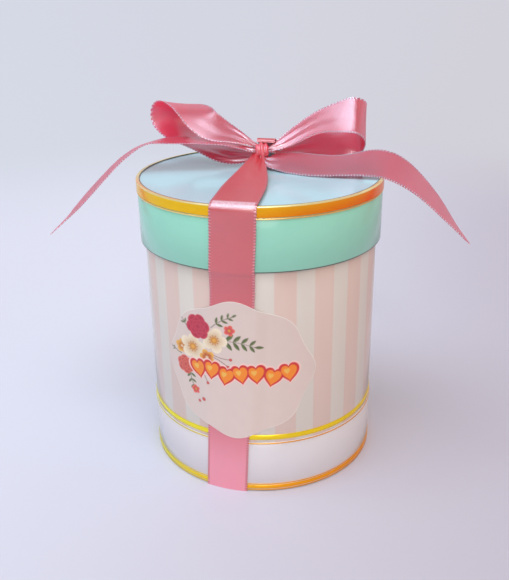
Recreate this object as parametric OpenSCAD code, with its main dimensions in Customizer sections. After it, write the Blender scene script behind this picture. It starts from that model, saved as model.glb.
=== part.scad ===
/* [Box] */
// Outer radius of the body with its printed paper
body_r = 41.4; // [35:0.1:50]
// Height of the closed box from the table to the top of the lid's gold band
box_h = 104.8; // [80:0.1:130]
// Thickness of the rolled card of body and lid
card_t = 1; // [0.8:0.1:1.5]
// Thickness of the printed paper round the body
paper_t = 0.25; // [0.15:0.05:0.4]
// Width of the butt seam of each paper and foil strip, at the back
seam_w = 0.4; // [0.3:0.1:1]
// Height of the plain paper band round the foot
base_band_h = 19.9; // [12:0.1:26]
// Thickness of the foot band and of the foil strips on the body
strip_t = 0.15; // [0.1:0.05:0.3]

/* [Lid] */
// Depth of the lid from its top to its lower edge
lid_h = 21.5; // [14:0.1:30]
// Gap on the radius between the body and the lid that slides over it
lid_gap = 0.3; // [0.3:0.05:0.6]
// Thickness of the card disc in the lid and in the base
disc_t = 1.2; // [0.8:0.1:2]
// Thickness of the coloured paper on the side of the lid
lid_paper_t = 0.3; // [0.2:0.05:0.5]
// Thickness of the foil band round the lid's rim
rim_t = 0.3; // [0.2:0.05:0.5]
// Height of the foil band round the lid's rim
rim_band_h = 3.5; // [2.5:0.1:5]
// Width of the foil that turns in over the top of the lid
rim_lip_w = 1.1; // [0.8:0.1:2]
// Height of the thin foil line below the rim band
rim_line_h = 0.5; // [0.4:0.05:0.8]

/* [Foil lines on the body] */
// Height above the table of the underside of the waist band
waist_band_z = 21.3; // [20.6:0.1:27]
// Height of the waist band
waist_band_h = 1.9; // [1.2:0.1:3]
// Height of the thin line under the waist band
waist_line_h = 0.4; // [0.3:0.05:0.6]
// Height above the table of the underside of the foot band of foil
foot_foil_z = 1.1; // [1:0.1:1.6]
// Height of the foot band of foil
foot_foil_h = 1.4; // [1:0.1:2]
// Height of the thin lines above and below the foot band of foil
foot_line_h = 0.3; // [0.2:0.05:0.4]

/* [Label] */
// Height and width of the scalloped label
label_d = 51; // [40:0.5:56]
// Depth of the scallops, from crest to valley
scallop_depth = 1.5; // [0.8:0.1:2.5]
// Number of scallops round the label
scallop_count = 8; // [6:1:12]
// Distance from the lid's lower edge down to the top of the label
label_drop = 10.2; // [9.6:0.1:16]
// Distance of the label's centre to the right of the middle of the front
label_x = 1.2; // [-3:0.1:3]
// Thickness of the label's paper
label_t = 0.25; // [0.15:0.05:0.4]

/* [Ribbon] */
// Width of the satin ribbon
ribbon_w = 15; // [10:0.5:20]
// Thickness of the satin ribbon
ribbon_t = 0.35; // [0.25:0.05:0.5]
// Sideways place of the strap's middle at the lid's rim
strap_top_x = 2.6; // [-3:0.1:3]
// Sideways place of the strap's middle at the foot
strap_base_x = -2.9; // [-3:0.1:3]
// Depth to which the strap on the lid hangs over the strap on the body
strap_lap = 1.2; // [0.6:0.1:2.5]
// Length of the strap's slope from the body out to the lid's lower edge
strap_ramp_h = 8; // [4:0.5:9]

/* [Bow] */
// Angle by which the bow is turned from square to the strap
bow_turn = 14.5; // [0:0.5:20]
// Sideways place of the knot
knot_x = -1.4; // [-3:0.1:3]
// Place of the knot behind the middle of the lid
knot_y = 8.9; // [4:0.1:12]
// Height of the knot's middle above the lid's paper
knot_rise = 6.2; // [5.5:0.1:8]
// Width of the knot between its two loops
knot_w = 5.5; // [4.5:0.1:7]
// Depth of the knot from front to back
knot_d = 7; // [6:0.1:9]
// Height of the knot
knot_h = 5.3; // [4.5:0.1:6.5]
// Reach of the left loop from the knot
loop_left_reach = 34; // [31:0.5:40]
// Reach of the right loop from the knot
loop_right_reach = 37.5; // [34:0.5:43]
// Sideways reach of the left tail from the knot
tail_left_reach = 75; // [72:0.5:90]
// Sideways reach of the right tail from the knot
tail_right_reach = 75; // [70:0.5:86]
// Slant of the cut at the end of each tail
tail_cut = 6; // [0:0.5:7]

/* [Hidden] */

$fn = 96;
// Overrun of every cut past the faces that it goes through
cut = 1;
// Gap that keeps glued papers, straps and foil from biting into each other
skin_gap = 0.05;

// Radii of the body, from inside to outside
tube_r = body_r - paper_t;
bore_r = tube_r - card_t;
band_r = body_r + strip_t;
foil_r = band_r + strip_t;
strap_in_r = foil_r + skin_gap;
strap_out_r = strap_in_r + ribbon_t;
label_in_r = strap_out_r + skin_gap;
label_out_r = label_in_r + label_t;

// Radii of the lid, from inside to outside
lid_bore_r = body_r + lid_gap;
lid_card_r = lid_bore_r + card_t;
lid_r = lid_card_r + lid_paper_t;
rim_r = lid_r + rim_t;
lid_strap_r = rim_r + skin_gap;
lid_strap_out_r = lid_strap_r + ribbon_t;

// Heights: the box stands on the ribbon that runs under it
foot_z = ribbon_t;
lid_low_z = box_h - lid_h;
top_paper_z = box_h - rim_t;
lid_card_z = top_paper_z - paper_t;
rest_z = lid_card_z - disc_t;
wrap_top_z = rest_z - seam_w;
rim_band_z = box_h - rim_band_h;
rim_line_z = rim_band_z - rim_line_h / 2 - rim_line_h;
waist_line_z = base_band_h + foot_z - waist_line_h / 2;
strap_top_z = lid_low_z - lid_gap;
ramp_z = strap_top_z - strap_ramp_h;
// Radius of the body's strap at its upper end, just inside the lid's strap
ramp_r = lid_strap_r - lid_gap - ribbon_t;
label_z = lid_low_z - label_drop - label_d / 2;

// Sideways place of the strap's middle at a height
function strap_x(z) = strap_base_x + (strap_top_x - strap_base_x) * z / box_h;

// A point between two others, and the unit vector of a direction
function mix(a, b, t) = a + (b - a) * t;
function unit(v) = v / norm(v);

// A place on the smooth curve through the rows of a table, with u counted in rows
function row_of(t, i) = t[max(0, min(len(t) - 1, i))];
function blend4(a, b, c, d, f) =
    b + (c - a) * f / 2 + (2 * a - 5 * b + 4 * c - d) * f * f / 2
    + (3 * b - a - 3 * c + d) * f * f * f / 2;
function smooth(t, u) =
    let (i = floor(u), f = u - i)
    blend4(row_of(t, i - 1), row_of(t, i), row_of(t, i + 1), row_of(t, i + 2), f);

// Number of strips across a ribbon, and of rings in each gap between two table rows
ribbon_cells = 8;
rings_per_row = 2;

// Pleats that gather a ribbon where it enters the knot
pleat_count = 2.5;
pleat_depth = 0.9;

// A closed skin over rings of points that have the same length, each ring a flat band
module skin(rings) {
    n = len(rings);
    m = len(rings[0]);
    half = m / 2;
    pts = [for (r = rings) each r];
    walls = [
        for (i = [0:n - 2], j = [0:m - 1])
            let (k = (j + 1) % m, a = i * m + j, b = i * m + k, c = a + m, d = b + m)
            each [[a, b, d], [a, d, c]]
    ];
    last = (n - 1) * m;
    caps = [
        for (j = [0:half - 2])
            let (k = m - 1 - j)
            each [
                [j + 1, j, k], [j + 1, k, k - 1],
                [last + j, last + j + 1, last + k], [last + j + 1, last + k - 1, last + k]
            ]
    ];
    polyhedron(points = pts, faces = concat(walls, caps));
}

// A ring round a ribbon: middle, direction along, direction across, width share, and how
// far its front edge runs ahead of the middle. Pleats stand up where the ribbon is
// gathered to less than its full width.
function ribbon_ring(p, along, across, share, slant) =
    let (
        w = unit(across - along * (across * along)),
        up = cross(along, w),
        half_w = ribbon_w * share / 2,
        fold = pleat_depth * max(0, 1 - share) / 2,
        steps = [for (j = [0:ribbon_cells]) 2 * j / ribbon_cells - 1],
        mid = [
            for (s = steps)
                p + (w * half_w + along * slant) * s + up * fold * cos(180 * pleat_count * s)
        ]
    )
    concat(
        [for (j = [0:ribbon_cells]) mid[j] + up * ribbon_t / 2],
        [for (j = [ribbon_cells:-1:0]) mid[j] - up * ribbon_t / 2]
    );

// A length of ribbon along a table of rows, each with a place, a direction across and
// the share of the ribbon's width that it keeps. end_slant is the slant of a cut free end.
module ribbon_sweep(rows, reach, end_slant = 0) {
    places = [for (r = rows) r[0] * reach];
    across = [for (r = rows) r[1]];
    shares = [for (r = rows) r[2]];
    count = (len(rows) - 1) * rings_per_row;
    step = 1 / rings_per_row;
    skin([
        for (k = [0:count])
            let (
                u = k * step,
                ahead = smooth(places, min(u + step / 2, len(rows) - 1)),
                behind = smooth(places, max(u - step / 2, 0)),
                slant = end_slant / 2 * max(0, u - (len(rows) - 2))
            )
            ribbon_ring(
                smooth(places, u), unit(ahead - behind), smooth(across, u), smooth(shares, u), slant
            )
    ]);
}

// A plain ring about the middle of the box
module ring(r_in, r_out, z, h) {
    translate([0, 0, z])
        difference() {
            cylinder(h = h, r = r_out);
            translate([0, 0, -cut]) cylinder(h = h + 2 * cut, r = r_in);
        }
}

// A strip of paper or foil wrapped round the box, with a butt seam at the back
module seamed_ring(r_in, r_out, z, h) {
    difference() {
        ring(r_in, r_out, z, h);
        translate([-seam_w / 2, 0, z - cut]) cube([seam_w, r_out + cut, h + 2 * cut]);
    }
}

// The slanting slab that the strap's two edges follow, to be cut with a shell
module strap_slab(y_low, y_high) {
    x_low = strap_x(0) - ribbon_w / 2;
    x_high = strap_x(box_h) - ribbon_w / 2;
    translate([0, y_high, 0])
        rotate([90, 0, 0])
            linear_extrude(y_high - y_low)
                polygon([
                    [x_low, 0], [x_low + ribbon_w, 0],
                    [x_high + ribbon_w, box_h], [x_high, box_h]
                ]);
}

// The ribbon's shell round the body, sloping out at its top to meet the lid's strap
module strap_shell() {
    rotate_extrude()
        polygon([
            [strap_in_r, foot_z], [strap_out_r, foot_z], [strap_out_r, ramp_z],
            [ramp_r + ribbon_t, strap_top_z], [ramp_r, strap_top_z], [strap_in_r, ramp_z]
        ]);
}

module body_tube() {
    color("ivory") ring(bore_r, tube_r, foot_z, rest_z - foot_z);
}

module base_disc() {
    color("ivory") translate([0, 0, foot_z]) cylinder(h = disc_t, r = bore_r - skin_gap);
}

module body_wrap() {
    color("mistyrose") seamed_ring(tube_r, body_r, foot_z, wrap_top_z - foot_z);
}

module base_band() {
    color("lavenderblush") seamed_ring(body_r, band_r, foot_z, base_band_h);
}

module waist_gold_band() {
    color("gold") seamed_ring(body_r, band_r, waist_band_z, waist_band_h);
}

module waist_gold_line() {
    color("goldenrod") seamed_ring(band_r, foil_r, waist_line_z - waist_line_h, waist_line_h);
}

module foot_gold_band() {
    color("orange") seamed_ring(band_r, foil_r, foot_foil_z, foot_foil_h);
}

module foot_gold_lines() {
    color("gold") {
        seamed_ring(band_r, foil_r, foot_foil_z - 2 * foot_line_h, foot_line_h);
        seamed_ring(band_r, foil_r, foot_foil_z + foot_foil_h + foot_line_h, foot_line_h);
    }
}

// Edge of the label: a round plaque with soft scallops
label_steps = 96;
function label_edge(a) = label_d / 2 - scallop_depth / 2 * (1 - sin(scallop_count * (a - 90) + 90));

module label() {
    edge = [
        for (i = [0:label_steps - 1])
            let (a = 360 * i / label_steps)
            label_edge(a) * [cos(a), sin(a)]
    ];
    color("linen")
        intersection() {
            ring(label_in_r, label_out_r, label_z - label_d, 2 * label_d);
            translate([label_x, 0, label_z])
                rotate([90, 0, 0])
                    linear_extrude(label_out_r + cut)
                        polygon(edge);
        }
}

module strap_front() {
    color("palevioletred")
        intersection() {
            strap_shell();
            strap_slab(-lid_strap_out_r - cut, 0);
        }
}

module strap_back() {
    color("palevioletred")
        intersection() {
            strap_shell();
            strap_slab(0, lid_strap_out_r + cut);
        }
}

// The ribbon under the box, rounded where it turns up at the front and back
module strap_under() {
    turn_steps = 6;
    color("palevioletred")
        intersection() {
            rotate_extrude()
                polygon(concat(
                    [[0, 0]],
                    [
                        for (i = [0:turn_steps])
                            let (a = 90 * i / turn_steps)
                            [strap_out_r - ribbon_t + ribbon_t * sin(a), ribbon_t - ribbon_t * cos(a)]
                    ],
                    [[0, ribbon_t]]
                ));
            translate([strap_base_x - ribbon_w / 2, -strap_out_r - cut, 0])
                cube([ribbon_w, 2 * (strap_out_r + cut), ribbon_t]);
        }
}

module lid_tube() {
    color("ivory") ring(lid_bore_r, lid_card_r, lid_low_z, lid_card_z - lid_low_z);
}

module lid_disc() {
    color("ivory") translate([0, 0, rest_z]) cylinder(h = disc_t, r = lid_bore_r - skin_gap);
}

module lid_side_wrap() {
    color("aquamarine") seamed_ring(lid_card_r, lid_r, lid_low_z, top_paper_z - lid_low_z);
}

module lid_top_paper() {
    color("aquamarine") translate([0, 0, lid_card_z]) cylinder(h = paper_t, r = lid_card_r - skin_gap);
}

// The foil band of the rim, which turns in over the top with a rounded shoulder
module lid_gold_band() {
    turn_steps = 5;
    color("gold")
        rotate_extrude()
            polygon(concat(
                [[lid_r, rim_band_z], [rim_r, rim_band_z]],
                [
                    for (i = [0:turn_steps])
                        let (a = 90 * i / turn_steps)
                        [lid_r + rim_t * cos(a), top_paper_z + rim_t * sin(a)]
                ],
                [[lid_r - rim_lip_w, box_h], [lid_r - rim_lip_w, top_paper_z], [lid_r, top_paper_z]]
            ));
}

module lid_gold_line() {
    color("goldenrod") seamed_ring(lid_r, rim_r, rim_line_z, rim_line_h);
}

// How far a point beside the middle lies in from the round wall that it rests on
function inset(r, x) = r - sqrt(r * r - x * x);

// The ribbon goes over the rim in an easy bend, just clear of the foil's shoulder, and stands
// off the wall there: the middle of its arc, and its radius and height where it leaves the wall
strap_bend = 2.4;
strap_swell_h = 10;
bend_in = (strap_bend - ribbon_t / 2 - rim_t - skin_gap) / sqrt(2);
bend_r = lid_r - bend_in + strap_bend;
bend_z = top_paper_z - bend_in;

// Side view of a strap on the lid as [outward, height, sideways, width share, roundness]:
// up the wall, over the rim and across the top to the foot of the knot
strap_side_rings = 6;
strap_bend_rings = 4;
strap_top_rings = 9;
front_neck_share = 0.3;
back_neck_share = 0.45;
strap_hold_share = 0.27;
rise_power = 4;

function ease(t) = let (c = max(0, min(1, t))) c * c * (3 - 2 * c);

function side_rows(r, z_low) = [
    for (i = [0:strap_side_rings])
        let (
            z = mix(z_low, bend_z, i / strap_side_rings),
            swell = ease(1 - (bend_z - z) / strap_swell_h)
        )
        [mix(r, bend_r, swell), z, strap_x(z), 1, 1]
];

bend_rows = [
    for (i = [1:strap_bend_rings])
        let (a = 90 * i / strap_bend_rings)
        [bend_r - strap_bend * (1 - cos(a)), bend_z + strap_bend * sin(a), strap_x(bend_z), 1, 1]
];

function top_rows(end_out, end_z, end_x, neck_share) = [
    for (i = [1:strap_top_rings])
        let (
            t = i / strap_top_rings,
            held = max(0, (t - strap_hold_share) / (1 - strap_hold_share))
        )
        [
            mix(bend_r - strap_bend, end_out, t),
            mix(bend_z + strap_bend, end_z, pow(t, rise_power)),
            mix(strap_x(bend_z), end_x, t), mix(1, neck_share, held * held), 1 - t
        ]
];

// A strap on the lid, with side = -1 at the front and 1 at the back
module lid_strap(side, end_y, end_z, end_x, neck_share) {
    rows = concat(
        side_rows(lid_strap_r + ribbon_t / 2, lid_low_z - strap_lap),
        bend_rows,
        top_rows(side * end_y, end_z, end_x, neck_share)
    );
    last = len(rows) - 1;
    skin([
        for (k = [0:last])
            let (
                q = rows[k],
                ahead = rows[min(k + 1, last)],
                behind = rows[max(k - 1, 0)],
                along = unit([0, side * (ahead[0] - behind[0]), ahead[1] - behind[1]]),
                up = cross(along, [-side, 0, 0]),
                half_w = ribbon_w * q[3] / 2,
                fold = pleat_depth * (1 - q[3]) / 2,
                steps = [for (j = [0:ribbon_cells]) 2 * j / ribbon_cells - 1],
                mid = [
                    for (s = steps)
                        let (x = q[2] + half_w * s)
                        [x, side * (q[0] - inset(bend_r, x) * q[4]), q[1]]
                        + up * fold * cos(180 * pleat_count * s)
                ]
            )
            concat(
                [for (j = [0:ribbon_cells]) mid[j] - side * up * ribbon_t / 2],
                [for (j = [ribbon_cells:-1:0]) mid[j] + side * up * ribbon_t / 2]
            )
    ]);
}

// The knot's middle
knot_z = top_paper_z + knot_rise;

// Ends of the straps at the knot: low on its front, and over the top of its back
back_end_share = 0.6;
front_end_x = knot_x - knot_w / 8;
front_end_z = knot_z - knot_h / 4;
back_end_x = knot_x + knot_w / 5;
back_end_z = knot_z + knot_h * back_end_share;

module lid_strap_front() {
    color("palevioletred")
        lid_strap(-1, knot_y - knot_d / 2, front_end_z, front_end_x, front_neck_share);
}

module lid_strap_back() {
    color("palevioletred")
        lid_strap(1, knot_y + knot_d / 2, back_end_z, back_end_x, back_neck_share);
}

// Everything of the bow is drawn about the knot and turned with it
module bow_place() {
    translate([knot_x, knot_y, knot_z]) rotate([0, 0, bow_turn]) children();
}

// Half width, and radius as a share of the knot's, from its left end to its right
knot_profile_shares = [
    [-1, 0.62], [-0.92, 0.8], [-0.7, 0.94], [-0.35, 0.99],
    [0, 0.95], [0.35, 0.99], [0.7, 0.94], [0.92, 0.8], [1, 0.62]
];
knot_sides = 20;
// Power of the knot's rounded outline, seen along the bow: 2 is an ellipse
knot_square = 2.6;

function knot_ring(x, r) = [
    for (i = [0:knot_sides - 1])
        let (
            a = -360 * i / knot_sides,
            c = cos(a),
            s = sin(a),
            k = pow(pow(abs(c), knot_square) + pow(abs(s), knot_square), -1 / knot_square)
        )
        [x, r * k * c * knot_d / 2, r * k * s * knot_h / 2]
];

module knot() {
    color("hotpink")
        bow_place()
            skin([for (q = knot_profile_shares) knot_ring(q[0] * knot_w / 2, q[1])]);
}

// Rows of the loops and tails: place as shares of the reach, direction across from the
// back edge to the front edge, and share of the ribbon's width
loop_left_rows_shares = [
    [[-0.09, 0.03, 0.05], [-0.17, -0.94, -0.31], 0.2],
    [[-0.26, 0.03, 0.14], [-0.55, -0.78, -0.30], 0.5],
    [[-0.441, 0.053, 0.20], [-0.57, -0.73, -0.37], 0.82],
    [[-0.609, 0.065, 0.292], [-0.64, -0.58, -0.50], 0.82],
    [[-0.715, 0.162, 0.404], [-0.75, -0.66, -0.03], 1],
    [[-0.86, 0.32, 0.452], [-0.80, -0.58, 0.16], 1],
    [[-0.985, 0.43, 0.395], [-0.87, -0.42, 0.26], 1],
    [[-1.01, 0.47, 0.27], [-0.90, -0.38, 0.22], 1],
    [[-0.935, 0.42, 0.14], [-0.87, -0.42, 0.24], 0.95],
    [[-0.80, 0.33, 0.04], [-0.87, -0.45, 0.19], 0.9],
    [[-0.58, 0.18, -0.01], [-0.85, -0.53, 0.04], 0.76],
    [[-0.33, 0.07, -0.08], [-0.78, -0.48, -0.45], 0.54],
    [[-0.10, 0.04, -0.06], [-0.40, -0.60, -0.70], 0.3]
];

loop_right_rows_shares = [
    [[0.09, -0.03, 0.02], [-0.02, -0.93, -0.36], 0.2],
    [[0.21, 0.01, 0.07], [0.03, -0.81, -0.59], 0.42],
    [[0.371, 0.025, 0.164], [0.04, -0.85, -0.53], 0.62],
    [[0.531, 0.024, 0.249], [0.00, -0.86, -0.51], 0.79],
    [[0.689, 0.025, 0.289], [-0.02, -0.80, -0.60], 0.92],
    [[0.84, -0.003, 0.319], [0.04, -0.66, -0.75], 0.97],
    [[0.931, 0.015, 0.303], [-0.04, -0.62, -0.78], 1],
    [[1.00, 0.07, 0.23], [-0.05, -0.50, -0.86], 1],
    [[0.99, 0.21, 0.13], [-0.04, -0.46, -0.89], 1],
    [[0.91, 0.28, 0.07], [0.07, -0.50, -0.86], 1],
    [[0.68, 0.24, 0.04], [0.05, -0.58, -0.81], 0.95],
    [[0.43, 0.14, 0.02], [0.05, -0.70, -0.71], 0.65],
    [[0.23, 0.07, -0.01], [0.05, -0.84, -0.55], 0.34],
    [[0.09, 0.04, -0.01], [-0.02, -0.75, -0.66], 0.2]
];

tail_left_rows_shares = [
    [[-0.042, -0.02, 0.00], [0.00, -0.97, -0.26], 0.2],
    [[-0.11, -0.01, 0.02], [-0.10, -0.98, 0.06], 0.5],
    [[-0.185, -0.015, 0.04], [0.05, -1.00, 0.09], 0.93],
    [[-0.285, -0.005, 0.048], [0.07, -1.00, 0.05], 1],
    [[-0.38, -0.005, 0.054], [0.10, -0.99, 0.03], 1],
    [[-0.47, -0.01, 0.053], [0.12, -0.99, 0.06], 1],
    [[-0.54, -0.015, 0.045], [0.15, -0.97, 0.19], 1],
    [[-0.61, -0.025, 0.015], [0.19, -0.97, 0.14], 1],
    [[-0.69, -0.04, -0.042], [0.25, -0.96, 0.16], 1],
    [[-0.77, -0.05, -0.12], [0.29, -0.94, 0.18], 1],
    [[-0.85, -0.06, -0.20], [0.30, -0.94, 0.17], 1],
    [[-0.92, -0.07, -0.27], [0.30, -0.93, 0.23], 1],
    [[-0.99, -0.08, -0.335], [0.27, -0.92, 0.30], 1]
];

tail_right_rows_shares = [
    [[0.025, -0.045, -0.045], [-0.05, -0.83, -0.56], 0.25],
    [[0.10, -0.06, -0.05], [-0.08, -0.90, -0.30], 0.5],
    [[0.19, -0.10, -0.053], [-0.10, -0.96, -0.24], 0.8],
    [[0.28, -0.134, -0.053], [-0.14, -0.96, -0.23], 1],
    [[0.38, -0.163, -0.044], [-0.20, -0.95, -0.24], 1],
    [[0.48, -0.193, -0.024], [-0.25, -0.87, -0.42], 1],
    [[0.57, -0.215, -0.029], [-0.28, -0.86, -0.42], 1],
    [[0.65, -0.235, -0.07], [-0.34, -0.88, -0.32], 1],
    [[0.72, -0.25, -0.125], [-0.38, -0.91, -0.14], 1],
    [[0.79, -0.265, -0.195], [-0.41, -0.91, 0.04], 1],
    [[0.85, -0.275, -0.265], [-0.40, -0.88, 0.22], 1],
    [[0.905, -0.285, -0.33], [-0.32, -0.90, 0.30], 1],
    [[0.955, -0.29, -0.39], [-0.27, -0.91, 0.32], 1]
];

module bow_loop_left() {
    color("palevioletred") bow_place() ribbon_sweep(loop_left_rows_shares, loop_left_reach);
}

module bow_loop_right() {
    color("palevioletred") bow_place() ribbon_sweep(loop_right_rows_shares, loop_right_reach);
}

module tail_left() {
    color("pink") bow_place() ribbon_sweep(tail_left_rows_shares, tail_left_reach, tail_cut);
}

module tail_right() {
    color("pink") bow_place() ribbon_sweep(tail_right_rows_shares, tail_right_reach, -tail_cut);
}

body_tube();
base_disc();
body_wrap();
base_band();
waist_gold_band();
waist_gold_line();
foot_gold_band();
foot_gold_lines();
label();
strap_front();
strap_under();
strap_back();
lid_tube();
lid_disc();
lid_side_wrap();
lid_top_paper();
lid_gold_band();
lid_gold_line();
lid_strap_front();
lid_strap_back();
knot();
bow_loop_left();
bow_loop_right();
tail_left();
tail_right();
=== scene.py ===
from math import cos, hypot, pi, radians, sin, sqrt

import bpy
import numpy as np
from mathutils import Matrix, Vector

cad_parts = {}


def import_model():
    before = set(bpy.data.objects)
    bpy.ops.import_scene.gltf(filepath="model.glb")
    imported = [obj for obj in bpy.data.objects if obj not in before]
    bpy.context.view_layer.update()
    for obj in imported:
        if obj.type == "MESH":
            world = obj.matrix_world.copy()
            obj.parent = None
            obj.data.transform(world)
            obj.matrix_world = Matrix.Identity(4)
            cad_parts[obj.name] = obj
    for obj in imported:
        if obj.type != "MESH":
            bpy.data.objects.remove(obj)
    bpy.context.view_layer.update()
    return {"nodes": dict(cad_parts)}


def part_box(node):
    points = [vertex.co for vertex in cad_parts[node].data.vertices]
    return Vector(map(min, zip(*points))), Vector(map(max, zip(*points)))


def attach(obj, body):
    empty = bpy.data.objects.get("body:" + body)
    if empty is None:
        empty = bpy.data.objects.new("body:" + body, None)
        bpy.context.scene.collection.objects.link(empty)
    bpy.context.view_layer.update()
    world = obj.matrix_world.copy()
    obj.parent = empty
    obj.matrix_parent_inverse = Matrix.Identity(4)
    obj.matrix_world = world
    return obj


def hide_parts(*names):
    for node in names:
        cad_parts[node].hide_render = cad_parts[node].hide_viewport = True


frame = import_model()

# The script works in millimetres and scales to metres where a mesh is made
MM = 0.001


def low(node):
    return np.array(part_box(node)[0]) / MM


def high(node):
    return np.array(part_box(node)[1]) / MM


# Sizes of the box, read from the frame
TUBE_R = high("body_tube")[0]
BODY_R = high("body_wrap")[0]
BAND_R = high("base_band")[0]
FOIL_R = high("foot_gold_band")[0]
LID_CARD_R = high("lid_tube")[0]
LID_R = high("lid_side_wrap")[0]
RIM_R = high("lid_gold_band")[0]
BOX_H = high("lid_gold_band")[2]
LID_LOW = low("lid_side_wrap")[2]
TOP_PAPER = high("lid_top_paper")[2]
FOOT = low("body_wrap")[2]
RIBBON_W = high("strap_under")[0] - low("strap_under")[0]

# Width of the butt seams at the back, and how far the rim's foil turns in over the top
SEAM_W = 0.4
RIM_LIP_W = 1.1

# Ribbon: a thin satin with small loops of weft along both edges, and the gap that it keeps
RIBBON_T = 0.3
TOOTH_PITCH = 1.0
TOOTH_DEPTH = 0.28
SKIN_GAP = 0.05

# Places of the ribbon round the box, as in the CAD source
STRAP_TOP_X = 2.6
STRAP_BASE_X = -2.9
STRAP_RAMP_H = 8.0
STRAP_LAP = 1.2
LID_GAP = 0.3
STRAP_IN_R = FOIL_R + SKIN_GAP
LID_STRAP_R = RIM_R + SKIN_GAP
RAMP_R = LID_STRAP_R - LID_GAP - (RIBBON_T + SKIN_GAP)
STRAP_TOP = LID_LOW - LID_GAP

# The lid ribbon's easy bend over the rim: its radius, the height over which it swells off
# the wall, and the middle of its arc
STRAP_BEND = 2.4
STRAP_SWELL_H = 10.0
BEND_IN = (STRAP_BEND - RIBBON_T / 2 - (RIM_R - LID_R) - SKIN_GAP) / sqrt(2)
BEND_R = LID_R - BEND_IN + STRAP_BEND
BEND_Z = TOP_PAPER - BEND_IN

# The bow's frame: its knot, turned about the box's axis
BOW_TURN = 14.5
KNOT = np.array([-1.4, 8.9, TOP_PAPER + 6.2])
KNOT_W = 5.5
KNOT_D = 7.0
KNOT_H = 5.3


def unit(v):
    return v / np.linalg.norm(v, axis=-1, keepdims=True)


def circle(steps):
    return np.linspace(0, 2 * pi, steps, endpoint=False)


def mix(a, b, t):
    a = np.asarray(a)
    return a + (b - a) * t


def ease(t):
    t = np.clip(t, 0, 1)
    return t * t * (3 - 2 * t)


def smooth(table, u):
    """Places on the smooth curve through the rows of a table, with u counted in rows."""
    last = len(table) - 1
    i = np.clip(np.floor(u).astype(int), 0, last)
    f = (u - i)[:, None]
    a, b, c, d = (table[np.clip(i + k, 0, last)] for k in (-1, 0, 1, 2))
    bend = 2 * a - 5 * b + 4 * c - d
    return b + (c - a) * f / 2 + bend * f**2 / 2 + (3 * b - a - 3 * c + d) * f**3 / 2


def softened(values, sigma):
    """A table of values smoothed along its rows, its two ends kept in place."""
    reach = int(3 * sigma)
    weights = np.exp(-0.5 * (np.arange(-reach, reach + 1) / sigma) ** 2)
    weights /= weights.sum()
    head = 2 * values[0] - values[reach:0:-1]
    tail = 2 * values[-1] - values[-2:-reach - 2:-1]
    padded = np.concatenate([head, values, tail])
    return np.stack([np.convolve(padded[:, k], weights, "valid") for k in range(values.shape[1])], 1)


def even(path, spacing):
    """Row numbers, as fractions, that divide a path of places into steps of about one spacing."""
    run = np.concatenate([[0], np.cumsum(np.linalg.norm(np.diff(path, axis=0), axis=1))])
    count = max(2, int(round(run[-1] / spacing)))
    return np.interp(np.linspace(0, run[-1], count + 1), run, np.arange(len(path))), run[-1]


def at_rows(values, rows):
    """Values of a table between its rows."""
    i = np.clip(np.floor(rows).astype(int), 0, len(values) - 2)
    f = (rows - i).reshape((-1,) + (1,) * (values.ndim - 1))
    return values[i] * (1 - f) + values[i + 1] * f


def linked(name, data):
    """A new object in the scene."""
    obj = bpy.data.objects.new(name, data)
    bpy.context.scene.collection.objects.link(obj)
    return obj


def make_object(name, verts, faces, uvs=None, sharp=35):
    """A mesh object from places in millimetres."""
    mesh = bpy.data.meshes.new(name)
    mesh.from_pydata((verts * MM).tolist(), [], faces)
    mesh.shade_smooth()
    mesh.set_sharp_from_angle(angle=radians(sharp))
    if uvs is not None:
        layer = mesh.uv_layers.new(name="UVMap")
        corner = np.zeros(len(mesh.loops), int)
        mesh.loops.foreach_get("vertex_index", corner)
        layer.data.foreach_set("uv", uvs[corner].ravel())
    mesh.validate()
    return linked(name, mesh)


def grid_faces(rows, cols, start=0, flip=False):
    """Quads over a grid of vertices that is stored row by row."""
    r, c = np.meshgrid(np.arange(rows - 1), np.arange(cols - 1), indexing="ij")
    a = (start + r * cols + c).ravel()
    quads = np.stack([a, a + 1, a + cols + 1, a + cols], 1)
    return (quads[:, ::-1] if flip else quads).tolist()


def closed_sheet(name, mid, thickness, uv):
    """A thin closed piece about a grid of places [rows, cols, 3]; its thickness may change by rows."""
    rows, cols = mid.shape[:2]
    normal = unit(np.cross(np.gradient(mid, axis=0), np.gradient(mid, axis=1)))
    half_t = np.reshape(np.ones(rows) * thickness, (-1, 1, 1)) / 2
    top = (mid + normal * half_t).reshape(-1, 3)
    under = (mid - normal * half_t).reshape(-1, 3)
    half = rows * cols
    faces = grid_faces(rows, cols, flip=True) + grid_faces(rows, cols, half)
    grid = np.arange(half).reshape(rows, cols)
    edge = np.concatenate([grid[0], grid[1:, -1], grid[-1, -2::-1], grid[-2:0:-1, 0]]).tolist()
    faces += [[a, b, b + half, a + half] for a, b in zip(edge, edge[1:] + edge[:1])]
    return make_object(name, np.concatenate([top, under]), faces, np.tile(uv.reshape(-1, 2), (2, 1)))


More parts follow.
